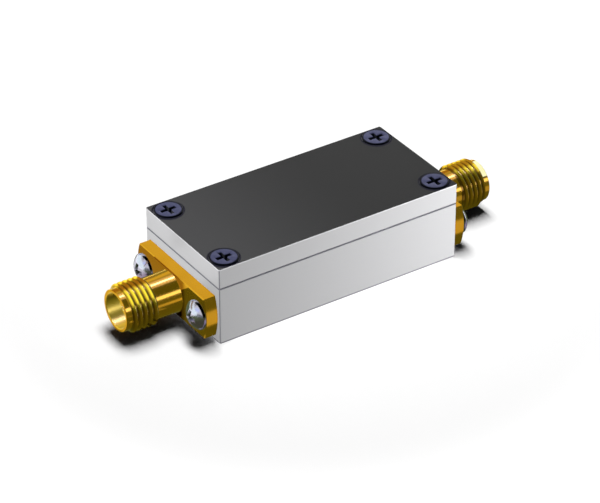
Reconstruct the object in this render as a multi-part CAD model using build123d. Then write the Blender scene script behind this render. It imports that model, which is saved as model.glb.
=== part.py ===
"""Coaxial low-pass filter: milled housing and lid, two flanged threaded jacks, coils and capacitors inside.

Millimetres, +Z up. X runs along the housing through both jacks, and the origin is the centre of the base.
"""

from build123d import *
import os

# Housing body
housing_length = 35.0
housing_side_margin = 0.46
body_height = 7.9
end_wall_web = 0.48
side_wall = 2.0
pocket_corner_radius = 1.6
outer_corner_radius = 0.25
edge_break = 0.05
seam_break = 0.1

# Cover lid and its countersunk screws
lid_thickness = 2.8
cover_end_land = 0.1
cover_side_land = 0.15
cover_screw_d = 2.0
cover_head_d = 3.6
cover_head_rim = 0.3
cover_head_proud = 0.12
sink_clearance = 0.12
cover_hole_clearance = 0.1
cover_screw_web = 1.0

# Jack body, turned in one piece with its flange
flange_d = 15.88
flange_height = 5.66
flange_thickness = 1.65
flange_lift = 0.87
flange_hole_edge_distance = 1.83
flange_hole_clearance = 0.3
flange_edge_break = 0.1
jack_length = 9.53
barrel_d = 5.4
thread_d = 6.35
thread_length = 3.7
thread_lead_in = 0.3
nose_d = 5.44
nose_length = 0.73
socket_bore_d = 4.6
socket_bore_depth = 1.93
mouth_break = 0.1

# Insulator and centre contact of a jack
insulator_d = 4.1
insulator_gap = 0.01
wall_hole_clearance = 0.05
contact_d = 1.27
contact_bore_d = 0.94
contact_bore_depth = 2.9
contact_gap = 0.01
contact_recess = 0.05
contact_slot_width = 0.15
contact_slot_depth = 2.4
barb_d = 1.6
barb_length = 0.8
barb_setback = 4.0
tail_d = 0.9
tail_length = 1.6

# Flange screws
flange_screw_d = 2.0
flange_screw_skin = 1.15
pan_head_d = 3.8
pan_head_height = 1.3
pan_head_side = 0.3

# Cross recess, thread fits and depths shared by the screws
recess_width = 2.2
recess_slot = 0.56
recess_floor_width = 1.0
recess_depth = 0.85
thread_fit_gap = 0.02
screw_tip_break = 0.2
hole_past_tip = 0.4

# Circuit board and its screws
board_thickness = 0.8
board_gap = 0.3
solder_gap = 0.02
board_screw_inset = 1.7
board_screw_d = 1.6
board_screw_clearance = 0.1
board_head_d = 2.8
board_head_height = 0.9
board_slot_width = 0.4
board_slot_depth = 0.45
floor_skin = 0.5

# Ladder of coils and capacitors on the board
stage_count = 3
coil_turns = 4
coil_pitch = 0.7
coil_mean_radius = 1.1
coil_wire_d = 0.4
coil_wire_sides = 6
coil_lead = 1.1
part_seat_gap = 0.02
capacitor_length = 1.6
capacitor_width = 0.8
capacitor_height = 0.75
terminal_length = 0.35
terminal_plating = 0.03
capacitor_centre_inset = 0.5
ladder_end_gap = 0.3

# Places that follow from the sizes above
cut_past = 1.0
housing_width = flange_d + 2 * housing_side_margin
housing_height = body_height + lid_thickness
jack_height = flange_lift + flange_height / 2
flange_hole_y = flange_d / 2 - flange_hole_edge_distance
sink_mouth_r = cover_head_d / 2 + sink_clearance
cover_screw_inset = sink_mouth_r + cover_end_land
end_wall = cover_screw_inset + cover_screw_d / 2 + end_wall_web
flange_screw_length = flange_thickness + end_wall - flange_screw_skin
socket_floor = jack_length - socket_bore_depth
board_top = jack_height - tail_d / 2 - solder_gap
floor_top = board_top - board_thickness
pocket_length = housing_length - 2 * end_wall
pocket_width = housing_width - 2 * side_wall
board_length = pocket_length - 2 * board_gap
board_width = pocket_width - 2 * board_gap
cover_screw_x = housing_length / 2 - cover_screw_inset
cover_screw_y = housing_width / 2 - sink_mouth_r - cover_side_land
cover_screw_tip = jack_height + flange_screw_d / 2 + cover_screw_web
board_screw_x = board_length / 2 - board_screw_inset
board_screw_y = board_width / 2 - board_screw_inset
board_screw_tip = floor_skin + hole_past_tip
ladder_half = pocket_length / 2 - tail_length - ladder_end_gap - capacitor_width / 2
stage_pitch = 2 * ladder_half / stage_count

# Frame of the jack on the +X end: its Z runs out along the jack, its X across the flange
jack_plane = Plane(origin=(housing_length / 2, 0, jack_height), x_dir=(0, 1, 0), z_dir=(1, 0, 0))


def turned(outline):
    """Solid turned about Z from points of radius and height."""
    return revolve(Plane.XZ * make_face(Polyline(*outline, close=True)), Axis.Z)


def four_corners(x, y, z):
    """Places at the four corners of a rectangle, named by the corner."""
    return {
        "left_front": Pos(-x, -y, z),
        "left_rear": Pos(-x, y, z),
        "right_front": Pos(x, -y, z),
        "right_rear": Pos(x, y, z),
    }


def slab(length, width, bottom, top, corner_radius):
    """Upright plate with rounded vertical corners."""
    return extrude(Pos(0, 0, bottom) * RectangleRounded(length, width, corner_radius), top - bottom)


def blank(bottom, top, bottom_break, top_break):
    """Outer block of the body or of the lid, with its bottom and top edges broken."""
    block = slab(housing_length, housing_width, bottom, top, outer_corner_radius)
    block = chamfer(block.faces().sort_by(Axis.Z)[0].edges(), bottom_break)
    return chamfer(block.faces().sort_by(Axis.Z)[-1].edges(), top_break)


def cross_recess(top):
    """Tapered cross-shaped driver recess, opening at height top."""
    cross = Rectangle(recess_width, recess_slot) + Rectangle(recess_slot, recess_width)
    prism = extrude(Pos(0, 0, top - recess_depth) * cross, recess_depth + cut_past)
    slope = (recess_width - recess_floor_width) / 2 / recess_depth
    taper = turned([
        (0, top - recess_depth),
        (recess_floor_width / 2, top - recess_depth),
        (recess_width / 2 + slope * cut_past, top + cut_past),
        (0, top + cut_past),
    ])
    return prism & taper


def flat_head_screw(length):
    """Countersunk cover screw, its head's face at zero and its shank downward."""
    head_r = cover_head_d / 2
    shank_r = cover_screw_d / 2
    body = turned([
        (0, 0),
        (head_r, 0),
        (head_r, -cover_head_rim),
        (shank_r, -cover_head_rim - head_r + shank_r),
        (shank_r, -length + screw_tip_break),
        (shank_r - screw_tip_break, -length),
        (0, -length),
    ])
    return body - cross_recess(0)


def pan_head_screw(length):
    """Domed flange screw, its head seated on zero and its shank downward."""
    head_r = pan_head_d / 2
    shank_r = flange_screw_d / 2
    dome = TangentArc((0, pan_head_height), (head_r, pan_head_side), tangent=(1, 0))
    rest = Polyline(
        (head_r, pan_head_side),
        (head_r, 0),
        (shank_r, 0),
        (shank_r, -length + screw_tip_break),
        (shank_r - screw_tip_break, -length),
        (0, -length),
        (0, pan_head_height),
    )
    body = revolve(Plane.XZ * make_face(dome + rest), Axis.Z)
    return body - cross_recess(pan_head_height)


def slotted_screw(length):
    """Board screw with a straight slot, its head seated on zero and its shank downward."""
    body = turned([
        (0, board_head_height),
        (board_head_d / 2, board_head_height),
        (board_head_d / 2, 0),
        (board_screw_d / 2, 0),
        (board_screw_d / 2, -length),
        (0, -length),
    ])
    slot = Box(board_head_d + cut_past, board_slot_width, 2 * board_slot_depth)
    return body - Pos(0, 0, board_head_height) * slot


def tapped_hole(screw_d, depth):
    """Cutter for a tapped hole that opens at zero and runs downward."""
    radius = screw_d / 2 + thread_fit_gap
    return turned([(0, cut_past), (radius, cut_past), (radius, -depth), (0, -depth - radius / 2)])


def make_housing_body():
    body = blank(0, body_height, edge_break, seam_break)
    body -= slab(pocket_length, pocket_width, floor_top, body_height + cut_past, pocket_corner_radius)
    wall_hole_r = insulator_d / 2 + wall_hole_clearance
    wall_hole = turned([(0, cut_past), (wall_hole_r, cut_past), (wall_hole_r, -end_wall), (0, -end_wall)])
    flange_hole = tapped_hole(flange_screw_d, flange_screw_length - flange_thickness + hole_past_tip)
    for turn in (0, 180):
        place = Rot(0, 0, turn) * jack_plane.location
        body -= place * wall_hole
        for side in (-1, 1):
            body -= place * Pos(side * flange_hole_y, 0, 0) * flange_hole
    cover_hole = tapped_hole(cover_screw_d, body_height - cover_screw_tip + hole_past_tip)
    for place in four_corners(cover_screw_x, cover_screw_y, body_height).values():
        body -= place * cover_hole
    board_hole = tapped_hole(board_screw_d, floor_top - board_screw_tip)
    for place in four_corners(board_screw_x, board_screw_y, floor_top).values():
        body -= place * board_hole
    return body


def make_cover_lid():
    lid = blank(body_height, housing_height, seam_break, edge_break)
    hole_r = cover_screw_d / 2 + cover_hole_clearance
    sink_floor = cover_head_proud - cover_head_rim
    countersink = turned([
        (0, cut_past),
        (sink_mouth_r, cut_past),
        (sink_mouth_r, sink_floor),
        (hole_r, sink_floor - sink_mouth_r + hole_r),
        (hole_r, -lid_thickness - cut_past),
        (0, -lid_thickness - cut_past),
    ])
    for place in four_corners(cover_screw_x, cover_screw_y, housing_height).values():
        lid -= place * countersink
    return lid


def make_jack_body():
    """Gold-plated jack in its own frame: flange against zero, tip at jack_length."""
    disc = Circle(flange_d / 2) & Rectangle(flange_d, flange_height)
    flange = extrude(disc, flange_thickness)
    flange = chamfer(flange.faces().sort_by(Axis.Z)[-1].edges(), flange_edge_break)
    thread_front = jack_length - nose_length
    thread_back = thread_front - thread_length
    thread_r = thread_d / 2
    jack = flange + turned([
        (0, 0),
        (barrel_d / 2, 0),
        (barrel_d / 2, thread_back),
        (thread_r, thread_back + thread_lead_in),
        (thread_r, thread_front - thread_lead_in),
        (nose_d / 2, thread_front),
        (nose_d / 2, jack_length - mouth_break),
        (nose_d / 2 - mouth_break, jack_length),
        (0, jack_length),
    ])
    insulator_bore_r = insulator_d / 2 + insulator_gap
    jack -= turned([
        (0, -cut_past),
        (insulator_bore_r, -cut_past),
        (insulator_bore_r, socket_floor),
        (socket_bore_d / 2, socket_floor),
        (socket_bore_d / 2, jack_length),
        (0, jack_length),
    ])
    screw_hole = Cylinder(flange_screw_d / 2 + flange_hole_clearance, 2 * flange_thickness + cut_past)
    for side in (-1, 1):
        jack -= Pos(side * flange_hole_y, 0, 0) * screw_hole
    return jack


def make_insulator():
    """Insulator in the jack's frame, flush with the inside of the end wall."""
    outer_r = insulator_d / 2
    inner_r = contact_d / 2 + contact_gap
    groove_r = barb_d / 2 + contact_gap
    groove_top = socket_floor - barb_setback + contact_gap
    groove_bottom = groove_top - barb_length - 2 * contact_gap
    return turned([
        (inner_r, -end_wall),
        (outer_r, -end_wall),
        (outer_r, socket_floor),
        (inner_r, socket_floor),
        (inner_r, groove_top),
        (groove_r, groove_top),
        (groove_r, groove_bottom),
        (inner_r, groove_bottom),
    ])


def make_contact():
    """Centre contact in the jack's frame: slotted socket in front, solder tail behind."""
    front = socket_floor - contact_recess
    barb_top = socket_floor - barb_setback
    contact = turned([
        (0, -end_wall - tail_length),
        (tail_d / 2, -end_wall - tail_length),
        (tail_d / 2, -end_wall),
        (contact_d / 2, -end_wall),
        (contact_d / 2, barb_top - barb_length),
        (barb_d / 2, barb_top - barb_length),
        (barb_d / 2, barb_top),
        (contact_d / 2, barb_top),
        (contact_d / 2, front),
        (contact_bore_d / 2, front),
        (contact_bore_d / 2, front - contact_bore_depth),
        (0, front - contact_bore_depth - contact_bore_d / 4),
    ])
    slot = Pos(0, 0, front) * Box(contact_d + cut_past, contact_slot_width, 2 * contact_slot_depth)
    return contact - slot - Rot(0, 0, 90) * slot


def make_circuit_board():
    corner = pocket_corner_radius - board_gap
    board = slab(board_length, board_width, floor_top, board_top, corner)
    hole = Cylinder(board_screw_d / 2 + board_screw_clearance, 2 * board_thickness + cut_past)
    for place in four_corners(board_screw_x, board_screw_y, board_top).values():
        board -= place * hole
    return board


def make_coil(x):
    """Air-wound coil lying along X with both leads flat on the board, its round wire drawn with flat sides."""
    start_x = x - coil_turns * coil_pitch / 2
    axis_z = board_top + part_seat_gap + coil_wire_d / 2 + coil_mean_radius
    winding = Helix(coil_pitch, coil_turns * coil_pitch, coil_mean_radius)
    lead_in = Line(winding @ 0 - (winding % 0) * coil_lead, winding @ 0)
    lead_out = Line(winding @ 1, winding @ 1 + (winding % 1) * coil_lead)
    section = Plane(origin=lead_in @ 0, z_dir=lead_in % 0) * RegularPolygon(coil_wire_d / 2, coil_wire_sides)
    wire = sweep(section, path=Wire([lead_in, winding, lead_out]), is_frenet=True)
    lying = Plane(origin=(start_x, 0, axis_z), x_dir=(0, 0, -1), z_dir=(1, 0, 0))
    return lying.location * wire


def make_capacitor(x, side):
    """Chip capacitor across the board, its two ends plated."""
    body = Box(capacitor_width, capacitor_length, capacitor_height)
    plated_width = capacitor_width + 2 * terminal_plating
    plated_height = capacitor_height + 2 * terminal_plating
    terminal = Box(plated_width, terminal_length + terminal_plating, plated_height)
    for end in (-1, 1):
        body += Pos(0, end * (capacitor_length - terminal_length + terminal_plating) / 2, 0) * terminal
    y = side * (capacitor_centre_inset + capacitor_length / 2)
    return Pos(x, y, board_top + part_seat_gap + plated_height / 2) * body


def make_nodes():
    nodes = {"housing_body": make_housing_body(), "cover_lid": make_cover_lid()}
    face = housing_height + cover_head_proud
    cover_screw = flat_head_screw(face - cover_screw_tip)
    for name, place in four_corners(cover_screw_x, cover_screw_y, face).items():
        nodes["cover_screw_" + name] = place * cover_screw
    flange_screw = pan_head_screw(flange_screw_length)
    jack_body = make_jack_body()
    insulator = make_insulator()
    contact = make_contact()
    for end, turn in (("left", 180), ("right", 0)):
        place = Rot(0, 0, turn) * jack_plane.location
        nodes[end + "_jack_body"] = place * jack_body
        nodes[end + "_jack_insulator"] = place * insulator
        nodes[end + "_jack_contact"] = place * contact
        for side, y in (("front", -flange_hole_y), ("rear", flange_hole_y)):
            across = -y if turn else y
            nodes[end + "_flange_screw_" + side] = place * Pos(across, 0, flange_thickness) * flange_screw
    nodes["circuit_board"] = make_circuit_board()
    board_screw = slotted_screw(board_top - board_screw_tip)
    for name, place in four_corners(board_screw_x, board_screw_y, board_top).items():
        nodes["board_screw_" + name] = place * board_screw
    for stage in range(stage_count):
        nodes["coil_" + str(stage + 1)] = make_coil(-ladder_half + (stage + 0.5) * stage_pitch)
    for shunt in range(stage_count + 1):
        side = 1 if shunt % 2 else -1
        nodes["capacitor_" + str(shunt + 1)] = make_capacitor(-ladder_half + shunt * stage_pitch, side)
    return nodes


os.makedirs("parts", exist_ok=True)
for node, shape in make_nodes().items():
    export_step(shape, "parts/" + node + ".step")
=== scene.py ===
import math
import bmesh
import bpy
from mathutils import Matrix, Vector


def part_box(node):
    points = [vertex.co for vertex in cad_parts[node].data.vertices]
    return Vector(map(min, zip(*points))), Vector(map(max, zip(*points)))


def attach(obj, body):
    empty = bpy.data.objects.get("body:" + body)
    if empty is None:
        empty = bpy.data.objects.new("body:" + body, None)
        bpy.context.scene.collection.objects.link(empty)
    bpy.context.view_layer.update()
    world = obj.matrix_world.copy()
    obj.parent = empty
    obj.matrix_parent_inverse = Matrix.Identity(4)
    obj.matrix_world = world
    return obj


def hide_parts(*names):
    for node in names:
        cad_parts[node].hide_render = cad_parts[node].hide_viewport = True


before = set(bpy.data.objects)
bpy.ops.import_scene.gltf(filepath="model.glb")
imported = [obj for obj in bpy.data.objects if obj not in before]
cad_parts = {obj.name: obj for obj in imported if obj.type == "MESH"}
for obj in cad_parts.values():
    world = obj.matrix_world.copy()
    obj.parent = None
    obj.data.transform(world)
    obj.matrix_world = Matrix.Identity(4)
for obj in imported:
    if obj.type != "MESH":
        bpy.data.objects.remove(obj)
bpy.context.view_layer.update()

# Housing body: an open box milled from one block of aluminium, its faces left satin from the cutter.
# It stands on its flat base, and every other piece is screwed, pressed or soldered into it.

MM = 0.001
ALUMINIUM = (0.60, 0.60, 0.61)
ALUMINIUM_GREY = (0.55, 0.55, 0.57)
SHADE_AND_SEAM_GREY = (0.16, 0.16, 0.19)
# Each pair called a fade says where a tone starts and where it is full, in millimetres from its edge.
EDGE_FADE = (-0.16, -0.08)
SEAM_FADE = (0.18, 0.08)
FOOT_FADE = (0.26, 0.12)
CUTTER_STRETCH = (30, 1000, 1000)
CUTTER_DEPTH = 0.002 * MM
SATIN_METAL = 0.25
SATIN_ROUGHNESS = 0.40
body_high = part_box("housing_body")[1]


class Value:
    """A shader socket that takes part in ordinary arithmetic."""

    def __init__(self, finish, socket):
        self.finish = finish
        self.socket = socket

    def math(self, operation, *values):
        return self.finish.node("ShaderNodeMath", {"operation": operation}, dict(enumerate(values)))

    def __add__(self, other):
        return self.math("ADD", self, other)

    def __radd__(self, other):
        return self.math("ADD", other, self)

    def __sub__(self, other):
        return self.math("SUBTRACT", self, other)

    def __rsub__(self, other):
        return self.math("SUBTRACT", other, self)

    def __mul__(self, other):
        return self.math("MULTIPLY", self, other)

    def __rmul__(self, other):
        return self.math("MULTIPLY", other, self)

    def __truediv__(self, other):
        return self.math("DIVIDE", self, other)

    def __rtruediv__(self, other):
        return self.math("DIVIDE", other, self)

    def __pow__(self, other):
        return self.math("POWER", self, other)

    def __rpow__(self, other):
        return self.math("POWER", other, self)

    def __abs__(self):
        return self.math("ABSOLUTE", self)

    def sign(self):
        return self.math("SIGN", self)

    def least(self, other):
        return self.math("MINIMUM", self, other)

    def most(self, other):
        return self.math("MAXIMUM", self, other)


class Finish:
    """A material, or the room's air, built up node by node."""

    def __init__(self, name, owners=bpy.data.materials):
        self.owner = owners.new(name)
        self.owner.use_nodes = True
        self.tree = self.owner.node_tree
        self.tree.nodes.clear()

    def node(self, kind, settings=None, inputs=None, output=0):
        """Adds a node: its settings first, then the values or links of its sockets."""
        node = self.tree.nodes.new(kind)
        for name, setting in (settings or {}).items():
            setattr(node, name, setting)
        for name, value in (inputs or {}).items():
            socket = node.inputs[name]
            if isinstance(value, Value):
                self.tree.links.new(value.socket, socket)
            elif socket.type == "RGBA":
                socket.default_value = (*value, 1)
            else:
                socket.default_value = value
        return Value(self, node.outputs[output]) if node.outputs else None

    def place(self):
        """The point on the object, in metres in the row frame, and its three coordinates."""
        point = self.node("ShaderNodeTexCoord", output="Object")
        axes = [self.node("ShaderNodeSeparateXYZ", inputs={0: point}, output=axis) for axis in range(3)]
        return [point] + axes

    def noise(self, point, scale, detail=2.0, stretch=(1, 1, 1)):
        """Noise from 0 to 1, its grain drawn out by stretch along each axis."""
        drawn = self.node("ShaderNodeVectorMath", {"operation": "MULTIPLY"}, {0: point, 1: stretch})
        return self.node("ShaderNodeTexNoise", {}, {"Vector": drawn, "Scale": scale, "Detail": detail})

    def step(self, value, start, end, edge=0.0):
        """0 before start, 1 past end, smooth between them; start may lie above end.

        Both are measured from edge.
        """
        sockets = {"Value": value, "To Min": 0.0, "To Max": 1.0}
        sockets.update({"From Min": edge + start, "From Max": edge + end})
        return self.node("ShaderNodeMapRange", {"interpolation_type": "SMOOTHSTEP"}, sockets)

    def mix(self, share, first, second):
        """A colour that runs from first to second."""
        sockets = {0: share, 6: first, 7: second}
        return self.node("ShaderNodeMix", {"data_type": "RGBA"}, sockets, output=2)

    def bump(self, height, depth):
        """A normal that follows height, whose full swing is depth metres."""
        return self.node("ShaderNodeBump", {}, {"Height": height, "Distance": depth, "Strength": 1.0})

    def surface(self, **sockets):
        """The one shader of the finish, which ends it.

        Sockets are given by name, with spaces as underscores.
        """
        inputs = {name.replace("_", " "): value for name, value in sockets.items()}
        shader = self.node("ShaderNodeBsdfPrincipled", {}, inputs)
        self.node("ShaderNodeOutputMaterial", {}, {0: shader})
        return self.owner


def dress(piece, material):
    """Gives a piece or CAD node one material, over what it came with."""
    piece.data.materials.clear()
    piece.data.materials.append(material)


def satin_aluminium(finish, seam_z):
    """The cutter lines, colour and roughness of the milled faces.

    Corners and the foot are painted darker in shade along the broken edges, and the seam at seam_z is a dark
    joint line.
    """
    point, x, y, z = finish.place()
    corner = finish.step(abs(x) / MM, *EDGE_FADE, body_high.x / MM)
    corner = corner * finish.step(abs(y) / MM, *EDGE_FADE, body_high.y / MM)
    seam = finish.step(abs(z / MM - seam_z / MM), *SEAM_FADE)
    foot = finish.step(z / MM, *FOOT_FADE)
    edge = corner.most(seam).most(foot)
    lines = finish.noise(point, scale=9.0, detail=3.0, stretch=CUTTER_STRETCH)
    patches = finish.noise(point, scale=260.0)
    # Corners and the foot get painted shade; the seam gets a dark joint line.
    tone = finish.mix(edge * 0.9, ALUMINIUM, SHADE_AND_SEAM_GREY)
    tone = finish.mix((lines - 0.5) * 0.14 + (patches - 0.5) * 0.06, tone, ALUMINIUM_GREY)
    rough = SATIN_ROUGHNESS + (lines - 0.5) * 0.12 + (patches - 0.5) * 0.08
    return lines, tone, rough


satin = Finish("satin_milled_aluminium")
lines, tone, rough = satin_aluminium(satin, body_high.z)
body_material = satin.surface(
    Base_Color=tone, Metallic=SATIN_METAL, Roughness=rough, Normal=satin.bump(lines, CUTTER_DEPTH)
)
dress(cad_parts["housing_body"], body_material)

# Circuit board: a thin green board that lies in the pocket on its floor, held by four slotted screws.
# A bare copper strip down its middle joins the coils, and the copper under its edges meets the housing.

MASK_GREEN = (0.02, 0.16, 0.06)
MASK_GREEN_LIGHT = (0.05, 0.27, 0.12)
BARE_COPPER = (0.86, 0.70, 0.42)
STRIP_FADE = (0.55, 0.45)
RIM_FADE = (-1.5, -1.4)
COPPER_FADE = (-0.06, -0.03)
board_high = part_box("circuit_board")[1]
mask_green = Finish("green_solder_mask")
point, x, y, z = mask_green.place()
strip = mask_green.step(abs(y) / MM, *STRIP_FADE)
rim = mask_green.step(abs(y) / MM, *RIM_FADE, board_high.y / MM)
copper = strip.most(rim) * mask_green.step(z / MM, *COPPER_FADE, board_high.z / MM)
weave = mask_green.noise(point, scale=2200.0, detail=3.0)
tone = mask_green.mix(weave, MASK_GREEN, MASK_GREEN_LIGHT)
tone = mask_green.mix(copper, tone, BARE_COPPER)
board_material = mask_green.surface(Base_Color=tone, Metallic=copper * 0.9, Roughness=0.42 - copper * 0.1)
dress(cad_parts["circuit_board"], board_material)

# Board screws: four small slotted steel screws that pull the board down onto the pocket's floor.
# They are turned from bar and plainly plated, and their heads show a fine grain.

STEEL = (0.52, 0.52, 0.54)
STEEL_LIGHT = (0.66, 0.66, 0.68)


def dress_all(prefix, material):
    """Gives the same material to every CAD node whose name starts with prefix."""
    for name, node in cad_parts.items():
        if name.startswith(prefix):
            dress(node, material)


plain_steel = Finish("plain_plated_steel")
grain = plain_steel.noise(plain_steel.place()[0], scale=3500.0)
tone = plain_steel.mix(grain, STEEL, STEEL_LIGHT)
dress_all("board_screw_", plain_steel.surface(Base_Color=tone, Metallic=1.0, Roughness=0.28 + grain * 0.12))

# Coils: three air-wound coils of enamelled copper wire, wound on a rod and slid off it.
# Their straight leads lie flat on the copper strip, where they are soldered.

ENAMEL = (0.60, 0.22, 0.07)
ENAMEL_LIGHT = (0.80, 0.37, 0.14)
enamel = Finish("enamelled_copper")
heat = enamel.noise(enamel.place()[0], scale=900.0)
tone = enamel.mix(heat, ENAMEL, ENAMEL_LIGHT)
wire_material = enamel.surface(
    Base_Color=tone, Metallic=1.0, Roughness=0.25 + heat * 0.1, Coat_Weight=0.6, Coat_Roughness=0.1
)
dress_all("coil_", wire_material)

# Capacitors: four fired ceramic chips that stand across the board, with tinned metal ends.
# The ends are dipped and plated, so they stand a little proud of the tan body.

CERAMIC = (0.42, 0.30, 0.18)
CERAMIC_LIGHT = (0.56, 0.42, 0.27)
TIN = (0.72, 0.72, 0.72)
TIN_FADE = (-0.40, -0.37)
for name, node in sorted(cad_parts.items()):
    if name.startswith("capacitor_"):
        low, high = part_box(name)
        centre_y = (low.y + high.y) / 2
        half = (high.y - low.y) / 2
        chip = Finish("ceramic_and_tin_" + name)
        point, x, y, z = chip.place()
        tinned = chip.step(abs(y - centre_y) / MM, *TIN_FADE, half / MM)
        grain = chip.noise(point, scale=3000.0, detail=3.0)
        tone = chip.mix(grain, CERAMIC, CERAMIC_LIGHT)
        tone = chip.mix(tinned, tone, TIN)
        dress(node, chip.surface(Base_Color=tone, Metallic=tinned, Roughness=0.55 - tinned * 0.2))

# Jack insulators: waxy white sleeves turned from fluoropolymer rod and pressed into the jacks.
# Each one carries the contact in its middle and ends level with the inside of the end wall.

WAXY_WHITE = (0.78, 0.77, 0.73)
WAXY_WHITE_LIGHT = (0.88, 0.87, 0.84)
waxy = Finish("waxy_white_insulator")
cloud = waxy.noise(waxy.place()[0], scale=700.0)
tone = waxy.mix(cloud, WAXY_WHITE, WAXY_WHITE_LIGHT)
insulator_material = waxy.surface(
    Base_Color=tone, Roughness=0.42 + cloud * 0.1, Subsurface_Weight=0.2, Subsurface_Scale=0.3 * MM
)

# Jack bodies and contacts: turned from brass bar and plated with gold.
# The flange is left on and milled flat above and below. The thread is cut as one right-handed helix
# of 36 turns to the inch, with a cone where the nut starts.

FLANGE_D = 15.88
FLANGE_HEIGHT = 5.66
FLANGE_THICKNESS = 1.65
FLANGE_BREAK = 0.1
SCREW_HOLE_Y = 6.11
SCREW_HOLE_R = 1.3
BARREL_R = 2.7
BARREL_FILLET = 0.12
JACK_LENGTH = 9.53
THREAD_R = 3.175
THREAD_PITCH = 25.4 / 36
THREAD_LENGTH = 3.7
THREAD_LEAD = 0.3
THREAD_DEPTH = 0.43
THREAD_ROOT_R = THREAD_R - THREAD_DEPTH
THREAD_EASE = 0.08 * THREAD_DEPTH
NOSE_R = 2.72
NOSE_LENGTH = 0.73
BORE_R = 2.3
BORE_DEPTH = 1.93
SLEEVE_R = 2.06
MOUTH_BREAK = 0.07
AROUND = 144
ARC_STEPS = 24
HOLE_STEPS = 36
FILLET_STEPS = 6
MERGE_WITHIN = 0.0004
COLLAPSE_UNDER = 0.0002
SHARP_FROM = 30

jack_low, jack_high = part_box("right_jack_body")
jack_z = (jack_low.z + jack_high.z) / 2
out_along_x = Matrix(((0, 0, 1, jack_low.x), (1, 0, 0, 0), (0, 1, 0, jack_z), (0, 0, 0, 1)))
to_metres = Matrix.Diagonal((MM, MM, MM, 1))
jack_place = {
    "right": out_along_x @ to_metres,
    "left": Matrix.Rotation(math.pi, 4, "Z") @ out_along_x @ to_metres,
}


def add_object(name, shape):
    """Adds a finished shape to the scene under its name."""
    mesh = bpy.data.meshes.new(name)
    shape.to_mesh(mesh)
    shape.free()
    added = bpy.data.objects.new(name, mesh)
    bpy.context.scene.collection.objects.link(added)
    return added


def shade_turned(mesh, sharp):
    """Shades a mesh smooth, but for its edges over sharp degrees."""
    mesh.shade_smooth()
    mesh.set_sharp_from_angle(angle=math.radians(sharp))


def make_piece(name, shape, place):
    """Turns a shape in millimetres into a piece in the row frame."""
    bmesh.ops.remove_doubles(shape, verts=shape.verts, dist=MERGE_WITHIN)
    bmesh.ops.dissolve_degenerate(shape, edges=shape.edges, dist=COLLAPSE_UNDER)
    bmesh.ops.recalc_face_normals(shape, faces=shape.faces)
    bmesh.ops.transform(shape, matrix=place, verts=shape.verts)
    piece = add_object(name, shape)
    shade_turned(piece.data, SHARP_FROM)
    return piece


def ring(shape, radius, height, steps, centre=0.0):
    """A closed loop of points round the jack's axis, or round a screw's axis beside it."""
    angles = [2 * math.pi * i / steps for i in range(steps)]
    return [shape.verts.new((centre + radius * math.cos(a), radius * math.sin(a), height)) for a in angles]


def join_loops(shape, loops):
    """Faces between each loop of points and the next, all of one count."""
    for first, second in zip(loops, loops[1:]):
        for i, corner in enumerate(first):
            after = (i + 1) % len(first)
            shape.faces.new((corner, first[after], second[after], second[i]))


def fill_between(shape, loops):
    """A flat face with holes, between an outline and the loops inside it."""
    edges = []
    for loop in loops:
        for i, corner in enumerate(loop):
            other = loop[(i + 1) % len(loop)]
            edges.append(shape.edges.get((corner, other)) or shape.edges.new((corner, other)))
    bmesh.ops.triangle_fill(shape, edges=edges, use_beauty=True)


# One turn of the thread from root to crest and back: each share of the pitch and the radius there.
THREAD_FORM = (
    (0.0, THREAD_ROOT_R), (0.05, THREAD_ROOT_R), (0.10, THREAD_ROOT_R), (0.14, THREAD_ROOT_R + THREAD_EASE),
    (0.47, THREAD_R - THREAD_EASE), (0.50, THREAD_R), (0.52, THREAD_R), (0.54, THREAD_R),
    (0.57, THREAD_R - THREAD_EASE), (0.96, THREAD_ROOT_R + THREAD_EASE),
)


def cut_thread(shape, back, front):
    """The thread's surface from back to front along the axis, each row of points following the helix."""
    rows_per_turn = len(THREAD_FORM)
    turns = math.ceil((front - back) / THREAD_PITCH) + 1
    corners = {}

    def corner(row, step):
        if step == AROUND:
            return corner(row + rows_per_turn, 0)
        if (row, step) not in corners:
            share, radius = THREAD_FORM[row % rows_per_turn]
            along = back + THREAD_PITCH * (row // rows_per_turn + share - 1 + step / AROUND)
            height = min(max(along, back), front)
            cone_back = BARREL_R + (height - back) * (THREAD_R - BARREL_R) / THREAD_LEAD
            cone_front = NOSE_R + (front - height) * (THREAD_R - NOSE_R) / THREAD_LEAD
            radius = min(radius, cone_back, cone_front)
            angle = 2 * math.pi * step / AROUND
            place = (radius * math.cos(angle), radius * math.sin(angle), height)
            corners[row, step] = shape.verts.new(place)
        return corners[row, step]

    for row in range((turns + 1) * rows_per_turn):
        for step in range(AROUND):
            here, ahead = corner(row, step), corner(row, step + 1)
            shape.faces.new((here, ahead, corner(row + 1, step + 1), corner(row + 1, step)))


def flange_outline(shape, inset, height):
    """The flange's outline: a disc milled flat above and below, drawn in by inset."""
    radius = FLANGE_D / 2 - inset
    reach = math.asin((FLANGE_HEIGHT / 2 - inset) / radius)
    angles = [reach * (2 * i / ARC_STEPS - 1) for i in range(ARC_STEPS + 1)]
    angles += [math.pi + a for a in angles]
    return [shape.verts.new((radius * math.cos(a), radius * math.sin(a), height)) for a in angles]


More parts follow.
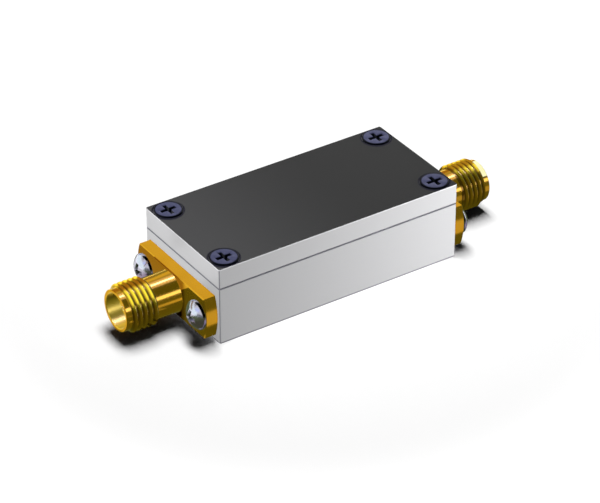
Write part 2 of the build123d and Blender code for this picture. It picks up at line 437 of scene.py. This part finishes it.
def jack_body(name, place):
    """A jack turned in one piece: flange with its two holes, barrel, thread, nose and stepped bore."""
    shape = bmesh.new()
    thread_front = JACK_LENGTH - NOSE_LENGTH
    thread_back = thread_front - THREAD_LENGTH
    inside = [
        (SLEEVE_R, 0), (SLEEVE_R, JACK_LENGTH - BORE_DEPTH), (BORE_R, JACK_LENGTH - BORE_DEPTH),
        (BORE_R, JACK_LENGTH - MOUTH_BREAK), (BORE_R + MOUTH_BREAK, JACK_LENGTH),
        (NOSE_R - MOUTH_BREAK, JACK_LENGTH), (NOSE_R, JACK_LENGTH - MOUTH_BREAK), (NOSE_R, thread_front),
    ]
    outside = [(BARREL_R, thread_back)]
    for i in range(FILLET_STEPS + 1):
        angle = math.pi / 2 * i / FILLET_STEPS
        outside.append((
            BARREL_R + BARREL_FILLET * (1 - math.cos(angle)),
            FLANGE_THICKNESS + BARREL_FILLET * (1 - math.sin(angle)),
        ))
    inner_loops = [ring(shape, radius, height, AROUND) for radius, height in inside]
    outer_loops = [ring(shape, radius, height, AROUND) for radius, height in outside]
    join_loops(shape, inner_loops)
    join_loops(shape, outer_loops)
    cut_thread(shape, thread_back, thread_front)
    rim = [
        flange_outline(shape, 0, 0),
        flange_outline(shape, 0, FLANGE_THICKNESS - FLANGE_BREAK),
        flange_outline(shape, FLANGE_BREAK, FLANGE_THICKNESS),
    ]
    join_loops(shape, rim)
    holes = []
    for side in (-1, 1):
        hole = [
            ring(shape, SCREW_HOLE_R, 0, HOLE_STEPS, side * SCREW_HOLE_Y),
            ring(shape, SCREW_HOLE_R, FLANGE_THICKNESS, HOLE_STEPS, side * SCREW_HOLE_Y),
        ]
        join_loops(shape, hole)
        holes.append(hole)
    fill_between(shape, [rim[0], inner_loops[0], holes[0][0], holes[1][0]])
    fill_between(shape, [rim[-1], outer_loops[-1], holes[0][-1], holes[1][-1]])
    return make_piece(name, shape, place)


GOLD = (0.68, 0.34, 0.022)
GOLD_DEEP = (0.60, 0.29, 0.012)
GOLD_ROOT_SHADE = (0.15, 0.065, 0.005)
GOLD_LOWER_SHADE = (0.30, 0.17, 0.012)
GOLD_RIDGE_HIGHLIGHT = (0.86, 0.60, 0.04)
GOLD_FACE_SHADE = (0.25, 0.08, 0.002)
GOLD_BORE_LIGHT = (0.88, 0.58, 0.05)
GOLD_SHEEN = (1.0, 0.92, 0.5)
TURNING_STRETCH = (1, 0.02, 0.02)
TURNING_DEPTH = 0.0006 * MM
CONTACT_FADE = (1.0, 1.5)
NOSE_FADE = (0, -0.1)
BARREL_FADE = (0.01, 0.04)
NECK_FADE = (2.5, 3.0)
ROOT_SHADE_FADE = (-0.12, -0.38)
LOWER_SHADE_FADE = (0.6, -1.4)
HIGHLIGHT_FOOT_FADE = (0.8, 1.5)
HIGHLIGHT_TOP_FADE = (3.12, 2.8)
LEFT_TO_RIGHT = (-5.0, 5.0)
RIGHT_HIGHLIGHT_HIGHER = 1.2
FACE_BACK_FADE = (-0.06, -0.02)
FACE_FRONT_FADE = (0.06, 0.02)
FACE_SIDE_FADE = (-3.5, -2.5)


def distance(first, second):
    """The distance that two lengths at right angles make."""
    return (first ** 2 + second ** 2) ** 0.5


plating = Finish("gold_plating")
point, x, y, z = plating.place()
turned_lines = plating.noise(point, scale=9000.0, stretch=TURNING_STRETCH)
cloud = plating.noise(point, scale=500.0)
out = abs(x) / MM
height = (z - jack_z) / MM
from_axis = distance(y, z - jack_z) / MM
wall_x = jack_low.x / MM
nose_x = jack_high.x / MM - NOSE_LENGTH
flange_x = wall_x + FLANGE_THICKNESS
in_bore = plating.step(from_axis, BORE_R + MOUTH_BREAK, BORE_R) * plating.step(from_axis, *CONTACT_FADE)
threaded = plating.step(out, *NOSE_FADE, nose_x)
threaded = threaded * plating.step(from_axis, *BARREL_FADE, BARREL_R)
threaded = threaded * plating.step(out, *NECK_FADE, wall_x)
# Painted shade: the thread's underside is darker.
lower_shade = threaded * plating.step(height, *LOWER_SHADE_FADE)
# Painted shade in the thread's roots, lighter on its underside.
root = threaded * plating.step(from_axis, *ROOT_SHADE_FADE, THREAD_R)
# Painted highlight: a band on the thread's upper side is brighter and yellower, higher on the right jack.
highlight_height = height - plating.step(x / MM, *LEFT_TO_RIGHT) * RIGHT_HIGHLIGHT_HIGHER
ridge_highlight = threaded * plating.step(highlight_height, *HIGHLIGHT_FOOT_FADE) * plating.step(highlight_height, *HIGHLIGHT_TOP_FADE)
# Painted shade: the flange's front face is darker from beside the barrel to its rear end.
flange_face_shade = plating.step(out, *FACE_BACK_FADE, flange_x)
flange_face_shade = flange_face_shade * plating.step(out, *FACE_FRONT_FADE, flange_x)
flange_face_shade = flange_face_shade * plating.step(y / MM, *FACE_SIDE_FADE)
tone = plating.mix(cloud, GOLD, GOLD_DEEP)
tone = plating.mix(lower_shade * 0.6, tone, GOLD_LOWER_SHADE)
tone = plating.mix(ridge_highlight * 0.8, tone, GOLD_RIDGE_HIGHLIGHT)
tone = plating.mix(root * (0.9 - lower_shade * 0.4), tone, GOLD_ROOT_SHADE)
tone = plating.mix(flange_face_shade, tone, GOLD_FACE_SHADE)
# Painted light: the inside of the bore is brighter and yellower, in place of its inner reflections.
tone = plating.mix(in_bore * 0.8, tone, GOLD_BORE_LIGHT)
gold_material = plating.surface(
    Base_Color=tone, Metallic=1.0, Roughness=0.14 + cloud * 0.06 + in_bore * 0.20,
    Specular_Tint=GOLD_SHEEN, Coat_Weight=0.03, Coat_Roughness=0.05,
    Normal=plating.bump(turned_lines, TURNING_DEPTH),
)

for end, place in jack_place.items():
    jack = jack_body(end + "_gold_jack", place)
    dress(jack, gold_material)
    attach(jack, "root")
    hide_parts(end + "_jack_body")
    dress(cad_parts[end + "_jack_contact"], gold_material)
    dress(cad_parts[end + "_jack_insulator"], insulator_material)

# Flange screws: bright plated pan head screws with a cross recess, one on each side of a jack.
# They go through clearance holes in the flange into tapped holes in the end wall.

PAN_R = 1.9
PAN_HEIGHT = 1.3
PAN_SIDE = 0.3
SHANK_R = 1.0
TIP_R = 0.8
TIP_LENGTH = 0.2
FLANGE_SCREW_LENGTH = 4.0
RECESS_HALF = 1.1
RECESS_FLOOR_HALF = 0.5
RECESS_SLOT = 0.28
RECESS_DEPTH = 0.85
CUTTER_PAST_HEAD = 0.3
PAN_RECESS_EASE = 0.035
EASED_FROM = 38
SCREW_SHARP_FROM = 40
HEAD_AROUND = 72
DOME_STEPS = 14


def turn_profile(shape, profile, centre=0.0):
    """A closed turned solid from points of radius and height, the first and last of them on the axis."""
    loops = [ring(shape, radius, height, HEAD_AROUND, centre) for radius, height in profile if radius > 0]
    join_loops(shape, loops)
    for loop, (_, height) in ((loops[0], profile[0]), (loops[-1], profile[-1])):
        tip = shape.verts.new((centre, 0, height))
        for i, corner in enumerate(loop):
            shape.faces.new((corner, loop[(i + 1) % HEAD_AROUND], tip))


def cross_cutter(top, centre=0.0):
    """The driver's cross as a tapered solid that reaches over the head's top."""
    shape = bmesh.new()
    slope = (RECESS_HALF - RECESS_FLOOR_HALF) / RECESS_DEPTH
    past_half = RECESS_HALF + slope * CUTTER_PAST_HEAD
    loops = []
    for height, reach in ((top - RECESS_DEPTH, RECESS_FLOOR_HALF), (top + CUTTER_PAST_HEAD, past_half)):
        arm = [(reach, -RECESS_SLOT), (reach, RECESS_SLOT), (RECESS_SLOT, RECESS_SLOT)]
        outline = []
        for c, s in ((1, 0), (0, 1), (-1, 0), (0, -1)):
            outline += [(c * a - s * b, s * a + c * b) for a, b in arm]
        loops.append([shape.verts.new((centre + a, b, height)) for a, b in outline])
    join_loops(shape, loops)
    shape.faces.new(loops[0])
    shape.faces.new(loops[1])
    return shape


def cut_recess(piece, cutter_shape, place, edge):
    """Cuts the driver's cross out of a screw and eases its edges by a width in millimetres."""
    cutter = make_piece(piece.name + "_cutter", cutter_shape, place)
    cut = piece.modifiers.new("recess", "BOOLEAN")
    cut.object = cutter
    cut.solver = "EXACT"
    ease = piece.modifiers.new("eased_edges", "BEVEL")
    ease.width = edge * MM
    ease.segments = 2
    ease.limit_method = "ANGLE"
    ease.angle_limit = math.radians(EASED_FROM)
    evaluated = piece.evaluated_get(bpy.context.evaluated_depsgraph_get())
    mesh = bpy.data.meshes.new_from_object(evaluated)
    piece.modifiers.clear()
    piece.data = mesh
    bpy.data.objects.remove(cutter)
    shade_turned(mesh, SCREW_SHARP_FROM)


BRIGHT_STEEL = (0.47, 0.46, 0.54)
BRIGHT_STEEL_LIGHT = (0.55, 0.54, 0.62)
BRIGHT_LOWER_SHADE = (0.24, 0.16, 0.26)
BRIGHT_RECESS_SHADE = (0.10, 0.10, 0.13)
UP_SHARE = 0.87
REAR_SHARE = 0.5
LOWER_HALF_FADE = (0.0, -0.8)
DOME_FADE = (-0.02, -0.30)
dome_r = (PAN_R ** 2 + (PAN_HEIGHT - PAN_SIDE) ** 2) / (2 * (PAN_HEIGHT - PAN_SIDE))
dome_reach = math.asin(PAN_R / dome_r)
dome_x = flange_x + PAN_HEIGHT - dome_r
bright = Finish("bright_plated_screw")
point, x, y, z = bright.place()
haze = bright.noise(point, scale=1500.0)
# Painted shade in the cross recess, below the dome's surface.
from_dome = (abs(x) / MM - dome_x) ** 2 + (abs(y) / MM - SCREW_HOLE_Y) ** 2 + (z / MM - jack_z / MM) ** 2
recess = bright.step(from_dome ** 0.5, *DOME_FADE, dome_r)
# Painted shade on the lower front half of each head.
above = (z - jack_z) / MM * UP_SHARE + (y / MM - y.sign() * SCREW_HOLE_Y) * REAR_SHARE
tone = bright.mix(haze, BRIGHT_STEEL, BRIGHT_STEEL_LIGHT)
tone = bright.mix(bright.step(above, *LOWER_HALF_FADE) * 0.8, tone, BRIGHT_LOWER_SHADE)
tone = bright.mix(recess * 0.8, tone, BRIGHT_RECESS_SHADE)
bright_material = bright.surface(Base_Color=tone, Metallic=1.0, Roughness=0.16 + haze * 0.06)

pan_profile = [(0, PAN_HEIGHT)]
for i in range(1, DOME_STEPS + 1):
    angle = dome_reach * i / DOME_STEPS
    pan_profile.append((dome_r * math.sin(angle), PAN_HEIGHT - dome_r * (1 - math.cos(angle))))
pan_profile += [
    (PAN_R, 0), (SHANK_R, 0), (SHANK_R, -FLANGE_SCREW_LENGTH + TIP_LENGTH),
    (TIP_R, -FLANGE_SCREW_LENGTH), (0, -FLANGE_SCREW_LENGTH),
]
pan_profile = [(radius, height + FLANGE_THICKNESS) for radius, height in pan_profile]

for end, place in jack_place.items():
    for side, y_sign in (("front", -1), ("rear", 1)):
        centre = y_sign * SCREW_HOLE_Y * (1 if end == "right" else -1)
        shape = bmesh.new()
        turn_profile(shape, pan_profile, centre)
        screw = make_piece(end + "_" + side + "_pan_screw", shape, place)
        cut_recess(screw, cross_cutter(FLANGE_THICKNESS + PAN_HEIGHT, centre), place, PAN_RECESS_EASE)
        dress(screw, bright_material)
        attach(screw, "root")
        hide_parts(end + "_flange_screw_" + side)

# Cover lid: a thick flat plate of the same aluminium that closes the pocket, countersunk at its corners.
# Its top carries a dark grey finish that stops at the edge, and its sides are bare like the body's.

LID_DARK = (0.019, 0.019, 0.019)
LID_DARK_SHEEN = (0.037, 0.037, 0.038)
LID_SHEEN_FADE = (6.0, -20.0)
LID_EDGE_HIGHLIGHT = (0.80, 0.80, 0.82)
LID_TOP_FADE = (-0.05, -0.02)
LID_EDGE_HIGHLIGHT_FADE = (-0.22, -0.14)
LID_ROUGHNESS = 0.55
MOUTH_PAINTED_SHADE = (0.006, 0.006, 0.012)
MOUTH_R = 1.92
MOUTH_WALL_FADE = (0.07, 0.04)
MOUTH_RING_FADE = (0.22, 0.06)
MOUTH_SHADE_FADE = (0.18, 0.02)
SHADE_OUT_X = 0.14
SHADE_OUT_Y = 0.21
lid_low, lid_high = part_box("cover_lid")
screw_low, screw_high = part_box("cover_screw_right_rear")
screw_x = (screw_low.x + screw_high.x) / 2
screw_y = (screw_low.y + screw_high.y) / 2
lid_finish = Finish("dark_topped_aluminium")
lines, tone, rough = satin_aluminium(lid_finish, lid_low.z)
x, y, z = lid_finish.place()[1:]
top = lid_finish.step(z / MM, *LID_TOP_FADE, lid_high.z / MM)
# Painted highlight: a light band just under the lid's top edge.
rim = lid_finish.step(z / MM, *LID_EDGE_HIGHLIGHT_FADE, lid_high.z / MM)
from_screw = distance(abs(x) - screw_x, abs(y) - screw_y) / MM
# Painted shade round each countersink's mouth, and a painted shadow offset to the near side of each head.
mouth_shade = lid_finish.step(from_screw, *MOUTH_WALL_FADE, MOUTH_R)
mouth_shade = mouth_shade.most(lid_finish.step(from_screw, *MOUTH_RING_FADE, MOUTH_R) * top)
side_x = x.sign() * (abs(x) - screw_x) / MM
side_y = y.sign() * (abs(y) - screw_y) / MM
from_shade = distance(side_x + SHADE_OUT_X, side_y + SHADE_OUT_Y)
shade = lid_finish.step(from_shade, *MOUTH_SHADE_FADE, MOUTH_R)
# Painted sheen: the dark top is lighter toward the left end.
dark = lid_finish.mix(lid_finish.step(x / MM, *LID_SHEEN_FADE), LID_DARK, LID_DARK_SHEEN)
dark = lid_finish.mix(mouth_shade.most(shade), dark, MOUTH_PAINTED_SHADE)
tone = lid_finish.mix(rim * 0.7, tone, LID_EDGE_HIGHLIGHT)
tone = lid_finish.mix(top.most(mouth_shade), tone, dark)
rough = lid_finish.node("ShaderNodeMix", {"data_type": "FLOAT"}, {0: top, 2: rough, 3: LID_ROUGHNESS})
lid_material = lid_finish.surface(
    Base_Color=tone, Metallic=SATIN_METAL - top * SATIN_METAL, Roughness=rough, Specular_IOR_Level=0.15,
    Normal=lid_finish.bump(lines, CUTTER_DEPTH),
)
dress(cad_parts["cover_lid"], lid_material)

# Cover screws: flat head screws with a cross recess, in a dark blue-grey finish.
# Each head sits in a countersink a little proud of the lid, so its side shows in front, painted dark in
# shade.

FLAT_R = 1.8
FLAT_RIM = 0.3
FLAT_BREAK = 0.04
FLAT_RECESS_EASE = 0.03
BLUED = (0.062, 0.066, 0.135)
BLUED_LIGHT = (0.084, 0.090, 0.170)
BLUED_SHADED = (0.001, 0.002, 0.006)
HEAD_EDGE_FADE = (-0.26, -0.12)
HEAD_SIDE_FADE = (-0.02, -0.14)
blued = Finish("dark_blue_screw")
point, x, y, z = blued.place()
haze = blued.noise(point, scale=1200.0)
from_screw = distance(abs(x) - screw_x, abs(y) - screw_y) / MM
# Painted shade on the head's outer edge, its side and its recess.
shaded = blued.step(from_screw, *HEAD_EDGE_FADE, FLAT_R)
shaded = shaded.most(blued.step(z / MM, *HEAD_SIDE_FADE, screw_high.z / MM))
tone = blued.mix(haze, BLUED, BLUED_LIGHT)
tone = blued.mix(shaded, tone, BLUED_SHADED)
blued_material = blued.surface(
    Base_Color=tone, Metallic=0.6, Roughness=0.4 + haze * 0.1, Specular_IOR_Level=0.2
)

for corner in ("left_front", "left_rear", "right_front", "right_rear"):
    low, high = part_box("cover_screw_" + corner)
    length = (high.z - low.z) / MM
    head_place = Matrix.Translation(((low.x + high.x) / 2, (low.y + high.y) / 2, high.z)) @ to_metres
    shape = bmesh.new()
    turn_profile(shape, [
        (0, 0), (FLAT_R - FLAT_BREAK, 0), (FLAT_R, -FLAT_BREAK), (FLAT_R, -FLAT_RIM),
        (SHANK_R, -FLAT_RIM - FLAT_R + SHANK_R), (SHANK_R, -length + TIP_LENGTH),
        (TIP_R, -length), (0, -length),
    ])
    screw = make_piece(corner + "_lid_screw", shape, head_place)
    cut_recess(screw, cross_cutter(0), head_place, FLAT_RECESS_EASE)
    dress(screw, blued_material)
    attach(screw, "root")
    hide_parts("cover_screw_" + corner)

# Floor: one plain white sheet that the filter stands on, far larger than the view.
# It is white to the eye and in the metal's reflections, and greyer to the light that it throws back up.
# Away from the filter it glows white, again only to the eye and in reflections.

WHITE = (1.0, 1.0, 1.0)
BLACK = (0.0, 0.0, 0.0)
FLOOR_HALF = 1500
FLOOR_DROP = 0.01
FLOOR_BOUNCE = (0.25, 0.25, 0.25)
GLOW_FADE = (36.0, 75.0)
floor_shape = bmesh.new()
for x, y in ((-1, -1), (1, -1), (1, 1), (-1, 1)):
    floor_shape.verts.new((x * FLOOR_HALF * MM, y * FLOOR_HALF * MM, -FLOOR_DROP * MM))
floor_shape.faces.new(floor_shape.verts)


def stage_sheet(name, shape, material):
    """A flat sheet that belongs to the studio and not to the filter."""
    sheet = add_object(name, shape)
    dress(sheet, material)
    return sheet


def background_rays(finish):
    """1 for the rays that show the background, to the eye or in metal and glass, and 0 for all others.

    What metal throws on a matt surface isn't counted, or it would light up its own shadow.
    """
    seen = finish.node("ShaderNodeLightPath", output="Is Camera Ray")
    seen = seen + finish.node("ShaderNodeLightPath", output="Is Glossy Ray")
    seen = seen + finish.node("ShaderNodeLightPath", output="Is Transmission Ray")
    scattered = finish.node("ShaderNodeLightPath", output="Diffuse Depth")
    return seen.least(1.0) * (1 - scattered).most(0.0)


paper = Finish("white_floor")
x, y = paper.place()[1:3]
far = paper.step(distance(x, y) / MM, *GLOW_FADE)
tone = paper.mix(background_rays(paper), FLOOR_BOUNCE, WHITE)
glow = paper.mix(background_rays(paper) * far, BLACK, WHITE)
paper_material = paper.surface(
    Base_Color=tone, Roughness=1.0, Specular_IOR_Level=0.0, Emission_Color=glow, Emission_Strength=1.0
)
floor = stage_sheet("floor", floor_shape, paper_material)

# Light: an overhead lamp and five soft ones for the filter, and one broad lamp for the floor alone.
# Only the jacks and their screws shade that one, so the floor beside the box stays white, as in the photo.
# The room is white in the metal, and elsewhere it's dim and only fills the shadows a little.

ROOM_FILL = 0.01
room = Finish("white_room", bpy.data.worlds)
level = background_rays(room) * (1 - ROOM_FILL) + ROOM_FILL
backdrop = room.node("ShaderNodeBackground", {}, {"Color": WHITE, "Strength": level})
room.node("ShaderNodeOutputWorld", {}, {0: backdrop})
bpy.context.scene.world = room.owner

spared = bpy.data.collections.new("spared_by_soft_lamps")
spared.objects.link(floor)
spared.collection_objects[0].light_linking.link_state = "EXCLUDE"


def lamp(name, place, aim, kind="AREA", **settings):
    """A lamp at a place in millimetres that shines at another and leaves the floor out."""
    light = bpy.data.lights.new(name, kind)
    for setting, value in settings.items():
        setattr(light, setting, value)
    holder = bpy.data.objects.new(name, light)
    holder.location = Vector(place) * MM
    holder.rotation_euler = (Vector(aim) - Vector(place)).to_track_quat("-Z", "Y").to_euler()
    bpy.context.scene.collection.objects.link(holder)
    holder.visible_glossy = False
    holder.visible_camera = False
    holder.light_linking.receiver_collection = spared
    return holder


def soft_lamp(name, place, aim, width, energy):
    """A round lamp of a width in millimetres."""
    return lamp(name, place, aim, shape="DISK", size=width * MM, energy=energy)


def group(name, members):
    """A collection of pieces for a lamp or a card to light, or to be shaded by."""
    collection = bpy.data.collections.new(name)
    for member in members:
        collection.objects.link(member)
    return collection


lamp("overhead", (0, -26, 500), (0, 0, 0), kind="SUN", energy=3.3, angle=math.radians(17))
pieces = [piece for piece in bpy.data.objects if piece.type == "MESH" and piece != floor]
jack_pieces = [piece for piece in pieces if "jack" in piece.name]
screw_pieces = [piece for piece in pieces if "flange_screw" in piece.name or "pan_screw" in piece.name]
floor_light = group("floor_light", [floor])
box_alone = group("box_alone", [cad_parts["housing_body"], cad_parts["cover_lid"]])
small_ends = group("small_ends", jack_pieces + screw_pieces)
gilt = group("gilt_pieces", jack_pieces)

floor_lamp = lamp(
    "floor_lamp", (26, 48, 300), (26, 48, 0), shape="RECTANGLE", size=90 * MM, size_y=210 * MM, energy=1.05
)
floor_lamp.light_linking.receiver_collection = floor_light
floor_lamp.light_linking.blocker_collection = small_ends
soft_lamp("right_soft", (42, -54, 12), (10, 0, 5), width=24, energy=0.048)
soft_lamp("front_soft", (-60, -200, 80), (0, 0, 5), width=160, energy=0.10)
left_soft = soft_lamp("left_soft", (-75, -8, 45), (-17, 0, 5), width=40, energy=0.052)
left_soft.light_linking.blocker_collection = box_alone
soft_lamp("right_end_soft", (110, 4, 14), (27, 0, 4), width=30, energy=0.035)
soft_lamp("rear_soft", (60, 80, 60), (0, 0, 5), width=60, energy=0.09)

# Cards: dim, pale and tinted cards round the filter that show only in its gold and in its bright screws.
# They give the metal the lines of light and dark that it has in the photograph.

CAMERA_ALONG = 0.4637
LONG_CARD_AWAY = 150
LONG_CARD_HALF = 160
FLOOR_CARD_RISE = 0.05
UPPER_CARD_RISE = 0.06
SKY_CENTRE_X = -22
SKY_CARD_AWAY = 170
NOSE_CARD_R = 3.2
NOSE_CARD_ENDS = (26.5, 27.7)
NOSE_CARD_TURNS = ((40, 64), (64, 88), (88, 112))


def beside_jacks(turn):
    """A place beside the filter that both jacks mirror to the camera.

    It is turned up by degrees about the filter's long axis.
    """
    angle = math.radians(turn)
    along = CAMERA_ALONG * LONG_CARD_AWAY
    across = math.sqrt(1 - CAMERA_ALONG ** 2) * LONG_CARD_AWAY
    return Vector((along, -across * math.cos(angle), across * math.sin(angle) + jack_z / MM)) * MM


def card(name, corners, material, lights=small_ends):
    """A flat card of four corners in metres that shows only in the metal of the jacks and their screws."""
    shape = bmesh.new()
    shape.faces.new([shape.verts.new(corner) for corner in corners])
    sheet = stage_sheet(name, shape, material)
    for kind in ("camera", "diffuse", "shadow", "transmission", "volume_scatter"):
        setattr(sheet, "visible_" + kind, False)
    sheet.light_linking.receiver_collection = lights


def long_card(name, low_turn, high_turn, material):
    """A long card beside the filter, between two turns about its long axis."""
    along = Vector((LONG_CARD_HALF * MM, 0, 0))
    near = beside_jacks(low_turn)
    far = beside_jacks(high_turn)
    card(name, (near - along, near + along, far + along, far - along), material, gilt)


def floor_card(name, x_from, x_to, y_from, y_to, material, rise=FLOOR_CARD_RISE):
    """A card that lies on the floor, between places in millimetres."""
    corners = ((x_from, y_from), (x_to, y_from), (x_to, y_to), (x_from, y_to))
    card(name, [Vector((x, y, rise)) * MM for x, y in corners], material)


def sky_card(name, turns, heights, material):
    """A card in the sky left of the filter, between two turns from +X and two heights, in degrees."""
    corners = []
    for turn, height in ((0, 0), (1, 0), (1, 1), (0, 1)):
        across, up = math.radians(turns[turn]), math.radians(heights[height])
        toward = Vector((math.cos(across) * math.cos(up), math.sin(across) * math.cos(up), math.sin(up)))
        corners.append((Vector((SKY_CENTRE_X, 0, jack_z / MM)) + toward * SKY_CARD_AWAY) * MM)
    card(name, corners, material)


def upright_card(name, y, corners, material):
    """A card that stands along the filter at y, its corners given by x and z, all in millimetres."""
    card(name, [Vector((x, y, z)) * MM for x, z in corners], material)


def nose_card(name, low_turn, high_turn, material):
    """A card close over the right jack's nose, between two turns about its axis."""
    back, front = NOSE_CARD_ENDS
    corners = []
    for x, turn in ((back, low_turn), (front, low_turn), (front, high_turn), (back, high_turn)):
        y = -NOSE_CARD_R * math.cos(math.radians(turn))
        z = NOSE_CARD_R * math.sin(math.radians(turn)) + jack_z / MM
        corners.append(Vector((x, y, z)) * MM)
    card(name, corners, material, gilt)


def lit_card(name, color, strength):
    """A card's material that glows in the filter's metal, but doesn't light the floor by way of it."""
    finish = Finish(name)
    seen = finish.mix(background_rays(finish), BLACK, color)
    return finish.surface(
        Base_Color=BLACK, Specular_IOR_Level=0.0, Emission_Color=seen, Emission_Strength=strength
    )


dim = lit_card("dim_card", (0.96, 1.2, 0.6), 0.16)
shade = lit_card("shade_card", (1.0, 1.2, 0.6), 0.19)
grey = lit_card("grey_card", (0.92, 1.0, 1.2), 0.66)
front = lit_card("front_card", (0.30, 0.35, 1.0), 8.0)
top = lit_card("top_card", (0.24, 0.26, 1.0), 5.0)
strip = lit_card("strip_card", (0.12, 0.15, 1.0), 60.0)
wall = lit_card("wall_card", (0.87, 1.0, 0.97), 1.6)
brown = lit_card("brown_card", (1.0, 0.72, 0.5), 0.50)
blue = lit_card("blue_card", (0.62, 0.70, 1.0), 1.5)
pale = lit_card("bright_card", WHITE, 0.85)
side = lit_card("side_card", (0.9, 0.95, 1.0), 0.30)
over_dim = lit_card("over_dim_card", (1.0, 1.0, 0.9), 0.32)
rear = lit_card("rear_card", (0.36, 0.42, 0.62), 1.0)
nose = lit_card("nose_card", (0.052, 0.1, 1.0), 31.0)

long_card("lower_card", -2, 14, shade)
long_card("front_card", 14, 30, front)
long_card("upper_card", 30, 82, dim)
long_card("top_low_card", 82, 97, top)
long_card("top_strip_card", 97, 103, strip)
long_card("top_high_card", 103, 118, top)
long_card("over_card", 118, 134, grey)
floor_card("front_near_card", -20, 60, -6.2, -19.5, grey)
floor_card("front_left_card", -24.5, -20, -6.2, -19.5, dim)
floor_card("front_far_card", -24.5, 150, -19.5, -150, shade)
floor_card("under_card", -19.5, 60, -6.2, 30, dim)
floor_card("left_under_card", -24.0, -19.5, -6.2, -1, dim)
floor_card("left_end_card", -19.5, -15.5, -10.2, -6.2, dim, UPPER_CARD_RISE)
floor_card("right_end_card", 17, 22, -10.2, -6.2, dim, UPPER_CARD_RISE)
floor_card("left_bright_card", -17.5, -11, -20, -10.2, pale, UPPER_CARD_RISE)
floor_card("right_bright_card", 19, 25.5, -20, -10.2, pale, UPPER_CARD_RISE)
floor_card("left_card", -150, -24.5, -150, 0, dim)
sky_card("left_far_card", (98, 132), (-1, 28), wall)
sky_card("left_rear_card", (132, 164), (-1, 28), wall)
sky_card("left_blue_card", (164, 200), (23, 40), blue)
sky_card("left_low_card", (164, 190), (-1, 23), wall)
sky_card("left_side_card", (190, 262), (-1, 11), side)
sky_card("left_high_card", (95, 150), (36, 75), over_dim)
for end, x_from, x_to in (("left", -34, -19.3), ("right", 12, 30)):
    upright_card(end + "_brown_card", 4.2, ((x_from, 6.6), (x_to, 6.6), (x_to, 10.5), (x_from, 9.5)), brown)
for low_turn, high_turn in NOSE_CARD_TURNS:
    nose_card("right_nose_%d_card" % low_turn, low_turn, high_turn, nose)
end_wall = [Vector((17.6, y, z)) * MM for y, z in ((-8.4, 0.2), (8.4, 0.2), (8.4, 8.8), (-8.4, 8.8))]
card("end_wall_card", end_wall, dim)
upright_card("left_barrel_card", -2.3, ((-22.4, 1.0), (-19.2, 1.0), (-19.2, 5.1), (-22.4, 5.1)), dim)
upright_card("rear_wall_card", 150, ((-35, 1), (90, 1), (90, 70), (-35, 70)), rear)

# The pieces don't mirror each other, only the cards, the floor and the room.
for piece in pieces:
    piece.visible_glossy = False

# Camera: the photograph's own view, found by fitting the housing's corners.
# It stands in front of the filter's left end with a long lens, and looks down on the lid.

CAMERA_PLACE = (-0.1775, -0.2661, 0.2117)
CAMERA_TURN = 33.653
CAMERA_DIP = 33.19
CAMERA_LENS = 183.94
CAMERA_SENSOR = 36.0
CAMERA_CLIP = 0.01
camera = bpy.data.cameras.new("photo_camera")
camera.sensor_width = CAMERA_SENSOR
camera.lens = CAMERA_LENS
camera.clip_start = CAMERA_CLIP
camera_holder = bpy.data.objects.new("photo_camera", camera)
camera_holder.location = CAMERA_PLACE
turn = math.radians(CAMERA_TURN)
dip = math.radians(CAMERA_DIP)
forward = Vector((math.sin(turn) * math.cos(dip), math.cos(turn) * math.cos(dip), -math.sin(dip)))
camera_holder.rotation_euler = forward.to_track_quat("-Z", "Y").to_euler()
bpy.context.scene.collection.objects.link(camera_holder)
bpy.context.scene.camera = camera_holder
bpy.context.scene.view_settings.view_transform = "Standard"
